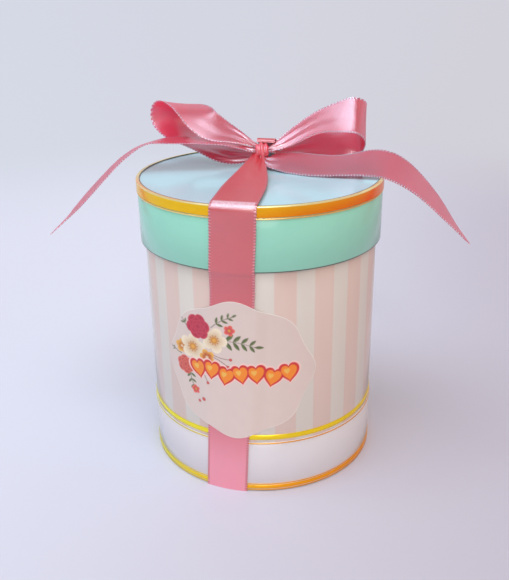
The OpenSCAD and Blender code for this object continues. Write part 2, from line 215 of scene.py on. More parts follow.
def ringed(name, rings, uv=None, colours=None, sharp=35):
    """A closed piece over a stack of rings [rings, steps, 3], whose first and last rings are points."""
    def per_vertex(values):
        return np.concatenate([values[:1, 0], values[1:-1].reshape(-1, values.shape[-1]), values[-1:, 0]])

    count, steps = rings.shape[:2]
    verts = per_vertex(rings)
    last = len(verts) - 1
    k = np.arange(steps)
    m = (k + 1) % steps
    caps = np.stack([0 * k, 1 + k, 1 + m, last + 0 * k, last - steps + m, last - steps + k], -1)
    faces = caps.reshape(-1, 3).tolist()
    a = 1 + np.arange(count - 3)[:, None] * steps
    faces += np.stack([a + k, a + steps + k, a + steps + m, a + m], -1).reshape(-1, 4).tolist()
    obj = make_object(name, verts, faces, None if uv is None else per_vertex(uv), sharp)
    if colours is not None:
        layer = obj.data.color_attributes.new(name="print", type="FLOAT_COLOR", domain="POINT")
        layer.data.foreach_set("color", per_vertex(colours).ravel())
    return obj


# Number of strips across a ribbon
RIBBON_CELLS = 28


def ribbon_columns(rows):
    """Places across a ribbon from -1 to 1 for each row, its edges drawn out in small loops."""
    s = np.linspace(-1, 1, RIBBON_CELLS + 1)[None, :] * np.ones((rows, 1))
    tooth = TOOTH_DEPTH * (np.arange(rows) % 2) / (RIBBON_W / 2)
    s[:, 0] += tooth
    s[:, -1] -= tooth
    return s


def ribbon_sheet(name, mid, s, run, length, thickness=RIBBON_T):
    """A ribbon about its middle layer; s and run are its flat places across, in half widths,
    and along."""
    uv = np.stack([s * np.ones_like(run) * RIBBON_W / 2, run * np.ones_like(s)], -1) * MM
    obj = closed_sheet(name, mid, thickness, uv)
    obj["flat_length"] = length * MM
    return obj


# Pleats that gather a ribbon where it enters the knot, fine gathers beside them,
# and how soon they fade as the ribbon widens
PLEAT_COUNT = 2.5
PLEAT_DEPTH = 0.5
PLEAT_FADE = 1.6
GATHER_COUNT = 6.5
GATHER_DEPTH = 0.3
GATHER_FADE = 3.0


def ribbon_piece(name, centre, across, up, share, end_slant, pleats):
    """A satin ribbon along a dense path: centre, directions across and up, width share, the
    slant of its cut end, and the depth of its pleats."""
    rows, length = even(centre, TOOTH_PITCH / 2)
    centre, across, up, share = (at_rows(v, rows) for v in (centre, across, up, share))
    s = ribbon_columns(len(rows))
    run = np.linspace(0, length, len(rows))[:, None]
    along = np.cross(across, up)
    half_w = RIBBON_W / 2 * share[:, None]
    slant = abs(end_slant) or 1.0
    lead = end_slant / 2 * ease((run - length + slant) / slant)
    gather = np.maximum(0, 1 - share)[:, None]
    fine = np.cos(pi * GATHER_COUNT * s + run / RIBBON_W)
    lift = PLEAT_DEPTH * gather**PLEAT_FADE * np.cos(pi * PLEAT_COUNT * s)
    lift = pleats * (lift + GATHER_DEPTH * gather**GATHER_FADE * fine)
    parts = ((across, half_w * s), (along, lead * s), (up, lift))
    mid = centre[:, None, :] + sum(way[:, None, :] * size[..., None] for way, size in parts)
    return ribbon_sheet(name, mid, s, run, length)


# Rows of the loops and tails: place as shares of the reach (3), direction from the back edge to
# the front edge (3), and share of the ribbon's width. They are the CAD source's, but for the
# right tail's wider first ones
LOOP_LEFT_REACH = 34.0
LOOP_LEFT = [
    (-0.09, 0.03, 0.05, -0.17, -0.94, -0.31, 0.2),
    (-0.26, 0.03, 0.14, -0.55, -0.78, -0.3, 0.5),
    (-0.441, 0.053, 0.2, -0.57, -0.73, -0.37, 0.82),
    (-0.609, 0.065, 0.292, -0.64, -0.58, -0.5, 0.82),
    (-0.715, 0.162, 0.404, -0.75, -0.66, -0.03, 1),
    (-0.86, 0.32, 0.452, -0.8, -0.58, 0.16, 1),
    (-0.985, 0.43, 0.395, -0.87, -0.42, 0.26, 1),
    (-1.01, 0.47, 0.27, -0.9, -0.38, 0.22, 1),
    (-0.935, 0.42, 0.14, -0.87, -0.42, 0.24, 0.95),
    (-0.8, 0.33, 0.04, -0.87, -0.45, 0.19, 0.9),
    (-0.58, 0.18, -0.01, -0.85, -0.53, 0.04, 0.76),
    (-0.33, 0.07, -0.08, -0.78, -0.48, -0.45, 0.54),
    (-0.1, 0.04, -0.06, -0.4, -0.6, -0.7, 0.3),
]
LOOP_RIGHT_REACH = 37.5
LOOP_RIGHT = [
    (0.09, -0.03, 0.02, -0.02, -0.93, -0.36, 0.2),
    (0.21, 0.01, 0.07, 0.03, -0.81, -0.59, 0.42),
    (0.371, 0.025, 0.164, 0.04, -0.85, -0.53, 0.62),
    (0.531, 0.024, 0.249, 0.0, -0.86, -0.51, 0.79),
    (0.689, 0.025, 0.289, -0.02, -0.8, -0.6, 0.92),
    (0.84, -0.003, 0.319, 0.04, -0.66, -0.75, 0.97),
    (0.931, 0.015, 0.303, -0.04, -0.62, -0.78, 1),
    (1.0, 0.07, 0.23, -0.05, -0.5, -0.86, 1),
    (0.99, 0.21, 0.13, -0.04, -0.46, -0.89, 1),
    (0.91, 0.28, 0.07, 0.07, -0.5, -0.86, 1),
    (0.68, 0.24, 0.04, 0.05, -0.58, -0.81, 0.95),
    (0.43, 0.14, 0.02, 0.05, -0.7, -0.71, 0.65),
    (0.23, 0.07, -0.01, 0.05, -0.84, -0.55, 0.42),
    (0.09, 0.04, -0.01, -0.02, -0.75, -0.66, 0.2),
]
TAIL_LEFT_REACH = 75.0
TAIL_LEFT = [
    (-0.042, -0.02, 0.0, 0.0, -0.97, -0.26, 0.2),
    (-0.11, -0.01, 0.02, -0.1, -0.98, 0.06, 0.5),
    (-0.185, -0.015, 0.04, 0.05, -1.0, 0.09, 0.93),
    (-0.285, -0.005, 0.048, 0.07, -1.0, 0.05, 1),
    (-0.38, -0.005, 0.054, 0.1, -0.99, 0.03, 1),
    (-0.47, -0.01, 0.053, 0.12, -0.99, 0.06, 1),
    (-0.54, -0.015, 0.045, 0.15, -0.97, 0.19, 1),
    (-0.61, -0.025, 0.015, 0.19, -0.97, 0.14, 1),
    (-0.69, -0.04, -0.042, 0.25, -0.96, 0.16, 1),
    (-0.77, -0.05, -0.12, 0.29, -0.94, 0.18, 1),
    (-0.85, -0.06, -0.2, 0.3, -0.94, 0.17, 1),
    (-0.92, -0.07, -0.27, 0.3, -0.93, 0.23, 1),
    (-0.99, -0.08, -0.335, 0.27, -0.92, 0.3, 1),
]
TAIL_RIGHT_REACH = 75.0
TAIL_RIGHT = [
    (0.025, -0.045, -0.045, -0.05, -0.83, -0.56, 0.36),
    (0.1, -0.055, -0.043, -0.08, -0.88, -0.42, 0.74),
    (0.19, -0.1, -0.047, -0.1, -0.94, -0.32, 0.94),
    (0.28, -0.134, -0.049, -0.14, -0.95, -0.28, 1),
    (0.38, -0.163, -0.042, -0.2, -0.95, -0.26, 1),
    (0.48, -0.193, -0.024, -0.25, -0.87, -0.42, 1),
    (0.57, -0.215, -0.029, -0.28, -0.86, -0.42, 1),
    (0.65, -0.235, -0.07, -0.34, -0.88, -0.32, 1),
    (0.72, -0.25, -0.125, -0.38, -0.91, -0.14, 1),
    (0.79, -0.265, -0.195, -0.41, -0.91, 0.04, 1),
    (0.85, -0.275, -0.265, -0.4, -0.88, 0.22, 1),
    (0.905, -0.285, -0.33, -0.32, -0.9, 0.3, 1),
    (0.955, -0.29, -0.39, -0.27, -0.91, 0.32, 1),
]
# The slant of the tails' cut ends, and the depth of the right tail's pleats
TAIL_CUT = 6.0
TAIL_RIGHT_PLEATS = 0.3

# Sampling of a ribbon's path, and how far its turns are softened, in samples
SAMPLES_PER_ROW = 24
PATH_SOFTNESS = 9.0


def bow_turned(v):
    """Directions of the bow's frame in the box's frame."""
    a = radians(BOW_TURN)
    turn = np.array([[cos(a), -sin(a), 0], [sin(a), cos(a), 0], [0, 0, 1]])
    return v @ turn.T


# How far a ribbon's ends are led on into the knot, and the width that they keep there
TUCK_PLACE = 0.4
TUCK_SHARE = 0.6


def tucked(table, both_ends):
    """A table of rows whose ends are led on into the knot."""
    inner = np.array([TUCK_PLACE] * 3 + [1] * 3 + [TUCK_SHARE])
    rows = np.array(table)
    return np.concatenate([rows[:1] * inner, rows, rows[-1:] * inner if both_ends else rows[:0]])


def bow_ribbon(name, table, reach, end_slant, pleats):
    """A ribbon of the bow along a table of rows."""
    rows = tucked(table, not end_slant)
    rows[:, :3] *= reach
    u = np.linspace(0, len(rows) - 1, (len(rows) - 1) * SAMPLES_PER_ROW + 1)
    path = softened(smooth(rows, u), PATH_SOFTNESS)
    place, across, share = path[:, :3], path[:, 3:6], np.clip(path[:, 6], 0, 1)
    along = unit(np.gradient(place, axis=0))
    across = unit(across - along * (across * along).sum(1, keepdims=True))
    up = np.cross(along, across)
    centre = bow_turned(place) + KNOT
    return ribbon_piece(name, centre, bow_turned(across), bow_turned(up), share, end_slant, pleats)


# The one deep fold of the lid's front strap below the knot: its place and width in half
# widths, its depth, and how soon it fades as the strap widens
NECK_FOLD_PLACE = 0.3
NECK_FOLD_W = 0.3
NECK_FOLD_DEPTH = 2.2
NECK_FOLD_FADE = 1.5


def strap_x(z):
    """Sideways place of the strap's middle at a height."""
    return STRAP_BASE_X + (STRAP_TOP_X - STRAP_BASE_X) * z / BOX_H


def strap_sheet(name, side_view, side, thickness=lambda z: RIBBON_T):
    """A strap from a side view of rows [outward, height, sideways, width share, roundness].
    side is -1 at the front and 1 at the back; a round row follows the round wall."""
    view = np.array(side_view, float)
    rows, length = even(view[:, :2], TOOTH_PITCH / 2)
    out, z, x_mid, share, roundness = at_rows(view, rows).T[:, :, None]
    s = ribbon_columns(len(rows))
    run = np.linspace(0, length, len(rows))[:, None]
    x = x_mid + RIBBON_W / 2 * share * s
    wall = out.max()
    inset = wall - np.sqrt(wall**2 - x**2)
    mid = np.stack([x, side * (out - inset * roundness), z * np.ones_like(x)], -1)
    normal = unit(np.cross(np.gradient(mid, axis=0), np.gradient(mid, axis=1)))
    if side < 0:
        fold = NECK_FOLD_DEPTH * np.exp(-(((s - NECK_FOLD_PLACE) / NECK_FOLD_W) ** 2))
        mid = mid + normal * (fold * np.maximum(0, 1 - share) ** NECK_FOLD_FADE)[..., None]
    if side > 0:
        mid = mid[:, ::-1]
    return ribbon_sheet(name, mid, s, run, length, thickness(z[:, 0]))


# Rows along the straps: body, lid, bend, lid's top, turn over the knot, and under the box
BODY_ROWS, LID_ROWS, BEND_ROWS, TOP_ROWS, TURN_ROWS, UNDER_ROWS = 60, 90, 25, 60, 16, 169


def body_strap(name, side):
    """The ribbon up the body's wall, sloping out to pass inside the lid's strap."""
    r_low = STRAP_IN_R + RIBBON_T / 2
    r_high = RAMP_R + RIBBON_T / 2
    heights = np.linspace(FOOT, STRAP_TOP, BODY_ROWS)
    slope = ease((heights - STRAP_TOP + STRAP_RAMP_H) / STRAP_RAMP_H)
    rows = [[mix(r_low, r_high, t), z, strap_x(z), 1, 1] for z, t in zip(heights, slope)]
    return strap_sheet(name, rows, side)


# The strap on the lid: share of its way that it lies flat, and power of its rise to the knot
HOLD_SHARE = 0.27
RISE_POWER = 4

# The lid ribbon's lower end thins out and tucks in against the body's ribbon
LAP_TUCK = 0.42
LAP_EDGE_T = 0.08


def above_lap(z):
    """0 at the lower end of the lid's ribbon, and 1 from the lid's edge up."""
    return ease((z - LID_LOW + STRAP_LAP) / STRAP_LAP)


def lap_thickness(z):
    return mix(LAP_EDGE_T, RIBBON_T, above_lap(z))


# The turn of the back ribbon's end over the knot: its radius, and its start and end angles
TURN_R = 1.5
TURN_ANGLES = (45, -75)


def lid_strap(name, side, end_y, end_z, end_x, neck_share):
    """The ribbon up the lid's skirt, over its rim and across to the knot, narrower there."""
    rows = []
    for z in np.linspace(LID_LOW - STRAP_LAP, BEND_Z, LID_ROWS):
        swell = ease(1 - (BEND_Z - z) / STRAP_SWELL_H)
        out = mix(LID_STRAP_R + RIBBON_T / 2, BEND_R, swell) - LAP_TUCK * (1 - above_lap(z))
        rows.append([out, z, strap_x(z), 1, 1])
    for a in np.radians(np.linspace(0, 90, BEND_ROWS)[1:]):
        out, rise = STRAP_BEND * (1 - cos(a)), STRAP_BEND * sin(a)
        rows.append([BEND_R - out, BEND_Z + rise, strap_x(BEND_Z), 1, 1])
    for t in np.linspace(0, 1, TOP_ROWS)[1:]:
        held = max(0, (t - HOLD_SHARE) / (1 - HOLD_SHARE))
        rows.append([
            mix(BEND_R - STRAP_BEND, side * end_y, t), mix(BEND_Z + STRAP_BEND, end_z, t**RISE_POWER),
            mix(strap_x(BEND_Z), end_x, t), mix(1, neck_share, held * held), 1 - t,
        ])
    if side < 0:
        rows.append([side * end_y - KNOT_D / 4, end_z + KNOT_H / 4, end_x, neck_share, 0])
    else:
        start, *turn = np.radians(np.linspace(*TURN_ANGLES, TURN_ROWS))
        for a in turn:
            into, over = TURN_R * (sin(start) - sin(a)), TURN_R * (cos(a) - cos(start))
            rows.append([side * end_y - into, end_z + over, end_x, neck_share, 0])
    return strap_sheet(name, rows, side, lap_thickness)


def under_strap(name):
    half = STRAP_IN_R + RIBBON_T
    s = np.linspace(-1, 1, RIBBON_CELLS + 1)[None, :]
    x = STRAP_BASE_X + s * RIBBON_W / 2
    y = np.linspace(-1, 1, UNDER_ROWS)[:, None] * np.sqrt(half**2 - x**2)
    mid = np.stack([x * np.ones_like(y), y, np.full(y.shape, RIBBON_T / 2)], -1)
    return ribbon_sheet(name, mid, s, y, 2 * half)


# Segments of a turned piece
TURN_STEPS = 256


def turned(name, outline, seam_w=0.0):
    """A turned piece from a closed outline of [radius, height], with a butt seam at the back."""
    outline = np.array(outline, float)
    n = len(outline)
    half_gap = seam_w / 2 / outline[:, 0].max()
    count = TURN_STEPS + (1 if seam_w else 0)
    a = pi / 2 + np.linspace(half_gap, 2 * pi - half_gap, TURN_STEPS + 1)[:count]
    r, z = outline[None, :, 0], outline[None, :, 1]
    verts = np.stack([r * np.cos(a)[:, None], r * np.sin(a)[:, None], z * np.ones((count, 1))], -1)
    i, k = np.arange(TURN_STEPS)[:, None], np.arange(n)
    j, m = (i + 1) % count, (k + 1) % n
    faces = np.stack([i * n + k, j * n + k, j * n + m, i * n + m], -1).reshape(-1, 4).tolist()
    if seam_w:
        faces.append(list(range(n)))
        faces.append([(count - 1) * n + k for k in range(n - 1, -1, -1)])
    return make_object(name, verts.reshape(-1, 3), faces, sharp=50)


def band_outline(r_in, r_out, z_low, z_high, bevel):
    return [
        [r_in, z_low], [r_out - bevel, z_low], [r_out, z_low + bevel],
        [r_out, z_high - bevel], [r_out - bevel, z_high], [r_in, z_high],
    ]


# The rim's foil: its rounded shoulder, and the lip that it turns down over the top paper
RIM_T = RIM_R - LID_R
ARC_STEPS = 8


def rim_outline():
    """The outline of the foil that goes up the lid's edge and over onto its top."""
    shoulder = np.radians(np.linspace(0, 90, ARC_STEPS + 1))
    foot = low("lid_gold_band")[2]
    return [
        [LID_R, foot], [RIM_R, foot],
        *([LID_R + RIM_T * cos(a), TOP_PAPER + RIM_T * sin(a)] for a in shoulder),
        [LID_R - RIM_LIP_W, BOX_H], [LID_R - RIM_LIP_W, TOP_PAPER], [LID_R, TOP_PAPER],
    ]


# The bevel of the lid's paper, and the rings of its mesh as shares of its radius
TOP_PAPER_BEVEL = 0.05
TOP_RINGS = (0, 0.3, 0.6, 0.85)


def lid_top(name):
    r, z_low, z_high = high("lid_top_paper")[0], low("lid_top_paper")[2], TOP_PAPER
    profile = [[r * share, z_high] for share in TOP_RINGS]
    profile += [[r - TOP_PAPER_BEVEL, z_high], [r, z_high - TOP_PAPER_BEVEL]]
    profile = np.array(profile + [[r, z_low], [r / 2, z_low], [0, z_low]], float)
    a = circle(TURN_STEPS)
    rho, z = profile[:, 0][:, None], profile[:, 1][:, None]
    rings = np.stack([rho * np.cos(a), rho * np.sin(a), z * np.ones_like(a)], -1)
    return ringed(name, rings)


# The knot: a gathered band of ribbon, with its folds running front to back and drifting
# sideways by two waves, each with a size and a start
KNOT_FOLDS = 3
KNOT_FOLD_DEPTH = 0.28
KNOT_DRIFT = ((1.6, 0.4), (0.7, 1))
KNOT_ROUNDNESS = 2.6
KNOT_END_ROUNDNESS = 3.2
KNOT_RINGS = 61
KNOT_STEPS = 96


def knot(name):
    s = np.sin(np.linspace(-pi / 2, pi / 2, KNOT_RINGS))[:, None]
    a = circle(KNOT_STEPS)[None, :] - pi / 2
    swell = np.maximum(1 - np.abs(s) ** KNOT_END_ROUNDNESS, 0) ** 0.5
    drift = sum(size * np.sin((k + 1) * a + start) for k, (size, start) in enumerate(KNOT_DRIFT))
    folds = KNOT_FOLD_DEPTH * np.cos(pi * KNOT_FOLDS * s + drift) * swell
    power = 2 / KNOT_ROUNDNESS
    y = np.sign(np.cos(a)) * np.abs(np.cos(a)) ** power
    z = np.sign(np.sin(a)) * np.abs(np.sin(a)) ** power
    half_d = (KNOT_D / 2 - KNOT_FOLD_DEPTH) * swell + folds
    half_h = (KNOT_H / 2 - KNOT_FOLD_DEPTH) * swell + folds
    place = np.stack([s * KNOT_W / 2 * np.ones_like(a), half_d * y, half_h * z], -1)
    rings = bow_turned(place) + KNOT
    around = 2 * (KNOT_D + KNOT_H) * (a + pi / 2) / (2 * pi)
    uv = np.stack([s * RIBBON_W / 2 * np.ones_like(a), around * np.ones_like(s)], -1) * MM
    return ringed(name, rings, uv, sharp=60)


# The label: a round paper with a wavy cut edge, lying over the ribbon and down onto the wall
LABEL_X, _, LABEL_Z = (low("label") + high("label")) / 2
LABEL_D = high("label")[2] - low("label")[2]
LABEL_T = 0.25
LABEL_WAVES = 8
LABEL_WAVE_DEPTH = 1.5
LABEL_SINK = 5.0
LABEL_RINGS = 116
LABEL_BACK_RINGS = 9
LABEL_STEPS = 440


def label_edge(a):
    """Radius of the label's cut edge at an angle."""
    return LABEL_D / 2 - LABEL_WAVE_DEPTH / 2 * (1 - np.cos(LABEL_WAVES * (a - pi / 2)))


def label_radius(x, z):
    """How far the label's inner face stands from the box's axis."""
    over_ribbon = STRAP_IN_R + RIBBON_T + SKIN_GAP
    on_wall = np.where(z < high("waist_gold_band")[2] + SKIN_GAP, FOIL_R, BODY_R) + SKIN_GAP
    beside = np.abs(x - strap_x(z)) - RIBBON_W / 2 - SKIN_GAP
    return mix(over_ribbon, on_wall, ease(beside / LABEL_SINK))


def label(name):
    a = circle(LABEL_STEPS)[None, :]
    out = np.linspace(0, 1, LABEL_RINGS)[:, None] * label_edge(a)
    back = np.linspace(1, 0, LABEL_BACK_RINGS)[:, None] * label_edge(a)
    faces = []
    for rho, t in ((out, LABEL_T), (back, 0)):
        x, z = LABEL_X + rho * np.cos(a), LABEL_Z + rho * np.sin(a)
        r = label_radius(x, z) + t
        faces.append(np.stack([x, -np.sqrt(r**2 - x**2), z], -1))
    u, v = out * np.cos(a), out * np.sin(a)
    printed = paint(u, v)
    printed[-1] = PAPER_WHITE
    white = np.ones(back.shape + (4,)) * PAPER_WHITE
    return ringed(name, np.concatenate(faces), colours=np.concatenate([printed, white]), sharp=60)


def rgb(*values):
    """A colour given as display values from 0 to 255."""
    shares = (v / 255 for v in values)
    return (*(v / 12.92 if v <= 0.04045 else ((v + 0.055) / 1.055) ** 2.4 for v in shares), 1.0)


PAPER_WHITE = rgb(236, 230, 224)
LABEL_GROUND = rgb(218, 200, 191)
CREAM, CREAM_DEEP = rgb(240, 226, 200), rgb(214, 184, 146)
RED, RED_DEEP = rgb(205, 62, 84), rgb(150, 30, 52)
CORAL, CORAL_DEEP = rgb(228, 112, 92), rgb(184, 62, 50)
AMBER, AMBER_DEEP = rgb(236, 182, 84), rgb(196, 120, 44)
LEAF, LEAF_DARK = rgb(112, 124, 74), rgb(62, 74, 46)
TWIG = rgb(128, 78, 62)
BERRY = rgb(176, 52, 62)
HEART, HEART_RIM, HEART_HALO = rgb(240, 138, 44), rgb(206, 50, 50), rgb(246, 206, 196)

# Softness of the printed shapes' edges, petals of an open flower, and a leaf's width as a
# share of its length
INK_EDGE = 0.16
PETALS = 5
LEAF_WIDTH = 0.36


def cover(inside):
    """Coverage by a shape, from the distance inside its outline."""
    return ease(inside / INK_EDGE / 2 + 0.5)[..., None]


def arc(x0, y0, x1, y1, bend, t):
    """Places at shares t along a line that bows out to its left by bend."""
    bow = bend * 4 * t * (1 - t) / hypot(x1 - x0, y1 - y0)
    return x0 + (x1 - x0) * t - (y1 - y0) * bow, y0 + (y1 - y0) * t + (x1 - x0) * bow


class Print:
    """A painted surface: a colour at each place, with shapes laid over one another. Places are
    millimetres from the label's middle, and a shape's proportions shares of its size."""

    def __init__(self, u, v, ground):
        self.u, self.v = u, v
        self.colour = np.ones(u.shape + (4,)) * ground

    def lay(self, coverage, colour):
        self.colour = mix(self.colour, colour, coverage)

    def polar(self, x, y):
        du, dv = self.u - x, self.v - y
        return np.hypot(du, dv), np.arctan2(dv, du)

    def aligned(self, x, y, turn):
        """Places seen from a point: along a direction, and to its left."""
        c, s = cos(radians(turn)), sin(radians(turn))
        du, dv = self.u - x, self.v - y
        return du * c + dv * s, dv * c - du * s

    def blossom(self, x, y, r, turn, colour, deep, centre=AMBER):
        """An open flower with round petals."""
        rho, a = self.polar(x, y)
        lobe = np.abs(np.cos(PETALS / 2 * (a - radians(turn))))
        rim = r * (0.66 + 0.34 * lobe**0.7)
        share = np.clip(rho / rim, 0, 1)
        shade = ease((share - 0.25) / 0.75) * (0.55 + 0.45 * lobe**0.5)
        vein = 0.12 * np.cos(PETALS * 6 * (a - radians(turn))) * share
        petal = mix(deep, colour, np.clip(shade + vein, 0, 1)[..., None])
        self.lay(cover(rim - rho), petal)
        eye = 0.26 * r
        self.lay(cover(eye - rho), mix(centre, AMBER_DEEP, np.clip(rho / eye, 0, 1)[..., None]))
        for k in range(2 * PETALS):
            b = radians(turn) + pi * k / PETALS
            dot, _ = self.polar(x + 0.34 * r * cos(b), y + 0.34 * r * sin(b))
            self.lay(cover(0.055 * r - dot), AMBER_DEEP)

    def ruffled(self, x, y, r, turn, colour, deep):
        """A full flower: petals in rings, each ring turned against the one outside it."""
        for ring in range(4):
            size = r * (1 - 0.23 * ring)
            rho, a = self.polar(x, y)
            lobe = np.abs(np.cos(3 * (a - radians(turn + 30 * ring))))
            rim = size * (0.84 + 0.16 * lobe**0.6)
            fade = np.clip(1 - (rim - rho) / (0.34 * r), 0, 1)[..., None]
            self.lay(cover(rim - rho), mix(deep, colour, fade * 0.85 + 0.1))

    def leaf(self, x, y, length, turn):
        """A pointed leaf from its stalk end, one half of it darker."""
        p, q = (v / length for v in self.aligned(x, y, turn))
        half = LEAF_WIDTH / 2 * np.sin(pi * np.clip(p, 0, 1)) ** 0.8
        inside = np.where((p > 0) & (p < 1), half - np.abs(q), -1) * length
        self.lay(cover(inside), mix(LEAF, LEAF_DARK, np.where(q > 0, 0.6, 0.1)[..., None]))

    def stroke(self, x0, y0, x1, y1, bend, width, colour):
        near = np.full(self.u.shape, np.inf)
        for x, y in zip(*arc(x0, y0, x1, y1, bend, np.linspace(0, 1, 25))):
            near = np.minimum(near, np.hypot(self.u - x, self.v - y))
        self.lay(cover(width / 2 - near), colour)

    def sprig(self, x, y, length, turn, bend, pairs):
        """A twig with leaves in pairs and one at its tip."""
        a = radians(turn)
        x1, y1 = x + length * cos(a), y + length * sin(a)
        self.stroke(x, y, x1, y1, bend, 0.3, LEAF_DARK)
        for k in range(pairs):
            t = (k + 1) / (pairs + 0.6)
            for lean in (48, -48):
                self.leaf(*arc(x, y, x1, y1, bend, t), length * (0.34 - 0.12 * t), turn + lean)
        self.leaf(x1, y1, length * 0.24, turn)

    def berry(self, x, y, r):
        rho, _ = self.polar(x, y)
        self.lay(cover(r - rho), mix(CORAL, BERRY, np.clip(rho / r, 0, 1)[..., None]))

    def heart(self, x, y, size, turn, grow, colour):
        p, q = (v / size for v in self.aligned(x, y, turn))
        p = np.abs(p)
        lean = q - 0.62 * np.sqrt(p + 0.004) * (1 - 0.25 * p) + 0.16
        inside = (0.5 - np.hypot(p, lean)) * size * 0.9 + grow
        self.lay(cover(inside), colour)


HEART_COUNT = 7


def paint(u, v):
    """A generic print: a round posy of garden flowers, and a garland of hearts."""
    art = Print(u, v, LABEL_GROUND)
    for x, y, length, turn, bend, pairs in (
        (-5.5, 11.0, 12.5, -6, 0.8, 4), (-7.5, 15.5, 8.5, 32, 0.5, 3), (-16.5, 12.5, 6.5, 128, -0.4, 2),
        (-20.0, 2.5, 4.6, 160, 0.2, 1), (-16.5, -1.5, 8.0, -78, -0.6, 3), (-9.0, 3.0, 6.5, -28, 0.4, 2),
    ):
        art.sprig(x, y, length, turn, bend, pairs)
    for x, y, x1, y1, bend in ((-8, 6, -1, 4.6, -0.5), (-8, 5, -2, 1.8, 0.4), (-13, 0, -9.5, -5.5, 0.4)):
        art.stroke(x, y, x1, y1, bend, 0.28, TWIG)
        art.berry(x1, y1, 0.55)
    art.blossom(-19.6, 5.4, 2.7, 20, AMBER, AMBER_DEEP, CREAM)
    art.blossom(-6.6, 11.0, 4.7, 70, CREAM, CREAM_DEEP)
    art.blossom(-15.0, 6.6, 5.0, 10, CREAM, CREAM_DEEP)
    art.blossom(-9.4, 4.2, 3.0, 40, AMBER, CORAL_DEEP, CREAM)
    art.ruffled(-12.6, 14.6, 4.6, 12, RED, RED_DEEP)
    art.ruffled(-18.4, -1.2, 3.5, 40, CORAL, RED_DEEP)
    art.blossom(-1.2, 15.2, 2.0, 0, CORAL, RED)
    art.blossom(-14.6, -9.6, 1.7, 30, CORAL, RED)
    art.berry(-11.4, -12.4, 0.7)
    art.berry(-13.2, -13.6, 0.55)
    places = [(-13.0 + 5.1 * k, -1.0 + 0.9 * sin(2.2 * k), 14 * cos(1.9 * k)) for k in range(HEART_COUNT)]
    for grow, colour in ((0.75, HEART_HALO), (0.35, HEART_RIM)):
        for x, y, turn in places:
            art.heart(x, y, 5.6, turn, grow, colour)
    for x, y, turn in places:
        art.heart(x, y, 5.6, turn, -0.35, HEART)
        art.heart(x - 0.7, y + 0.6, 2.0, turn, -0.1, AMBER)
    return art.colour


class Material:
    """A node material, or the world's nodes, built step by step."""

    def __init__(self, name, kind=bpy.data.materials, shader="Principled BSDF"):
        self.data = kind.new(name)
        self.data.use_nodes = True
        self.tree = self.data.node_tree
        self.shader = self.tree.nodes[shader]

    def node(self, kind, inputs=None, **settings):
        made = self.tree.nodes.new("ShaderNode" + kind)
        for key, value in settings.items():
            setattr(made, key, value)
        for key, value in (inputs or {}).items():
            self.put(made, key, value)
        return made

    def put(self, target, key, value):
        if isinstance(value, bpy.types.Node):
            value = value.outputs[0]
        if isinstance(value, bpy.types.NodeSocket):
            self.tree.links.new(value, target.inputs[key])
        else:
            target.inputs[key].default_value = value

    def set(self, **values):
        """Sockets of the main shader, named with underscores."""
        for key, value in values.items():
            self.put(self.shader, key.replace("_", " "), value)

    def math(self, operation, a, b=0.0, c=0.0):
        return self.node("Math", {0: a, 1: b, 2: c}, operation=operation).outputs[0]

    def place(self):
        """The place in the box's own frame, in metres, as a vector and as its three parts."""
        where = self.node("TexCoord").outputs["Object"]
        return where, self.node("SeparateXYZ", {0: where}).outputs

    def noise(self, vector, scale, detail):
        return self.node("TexNoise", {"Vector": vector, "Scale": scale, "Detail": detail}).outputs["Fac"]

    def mixed(self, factor, a, b):
        return self.node("Mix", {0: factor, 6: a, 7: b}, data_type="RGBA").outputs[2]

    def ramp(self, factor, low_value, high_value):
        """A factor from 0 to 1, led between two values."""
        limits = {"Value": factor, "To Min": low_value, "To Max": high_value}
        return self.node("MapRange", limits).outputs[0]

    def spread(self, value, start, end):
        """0 below a start and 1 above an end, soft between them."""
        limits = {"Value": value, "From Min": start, "From Max": end}
        return self.node("MapRange", limits, interpolation_type="SMOOTHSTEP").outputs[0]

    def step(self, value, edge, soft):
        """0 below an edge and 1 above it, soft over a width, both in millimetres."""
        return self.spread(value, (edge - soft / 2) * MM, (edge + soft / 2) * MM)

    def bump(self, height, strength, distance):
        self.set(Normal=self.node("Bump", {"Height": height, "Strength": strength, "Distance": distance}))

    def looked_at(self):
        """1 where the camera or gloss looks."""
        seen = self.node("LightPath").outputs
        return self.math("MAXIMUM", seen["Is Camera Ray"], seen["Is Glossy Ray"])


# The gloss film on paper: its waves and grain, its relief (strength and height), and its
# roughness with how far that goes down and up
FILM_WAVES, FILM_GRAIN, FILM_GRAIN_SHARE = 55.0, 900.0, 0.06
FILM_BUMP = (0.25, 0.0004)
FILM_ROUGHNESS, LABEL_ROUGHNESS = 0.14, 0.2
FILM_SMOOTHER, FILM_ROUGHER = 0.04, 0.06


def gloss_paper(name, roughness=FILM_ROUGHNESS):
    """A laminated paper: a slightly uneven gloss film over a printed sheet."""
    mat = Material(name)
    where, _ = mat.place()
    waves = mat.noise(where, FILM_WAVES, 3.0)
    grain = mat.noise(where, FILM_GRAIN, 2.0)
    mat.bump(mat.math("MULTIPLY_ADD", grain, FILM_GRAIN_SHARE, waves), *FILM_BUMP)
    mat.set(Roughness=mat.ramp(waves, roughness - FILM_SMOOTHER, roughness + FILM_ROUGHER), IOR=1.5)
    return mat


# The stripes: how many of each colour, the angle of one pink stripe's middle in degrees, as
# shares of a pair the pink one's width and the softness of its edges, and their uneven wash
STRIPE_COUNT = 19
STRIPE_CENTRE = 25.2
PINK_SHARE = 0.537
STRIPE_SOFT = 0.035
WASH_SCALE, WASH_STRETCH = 160.0, (1.0, 1.0, 0.12)


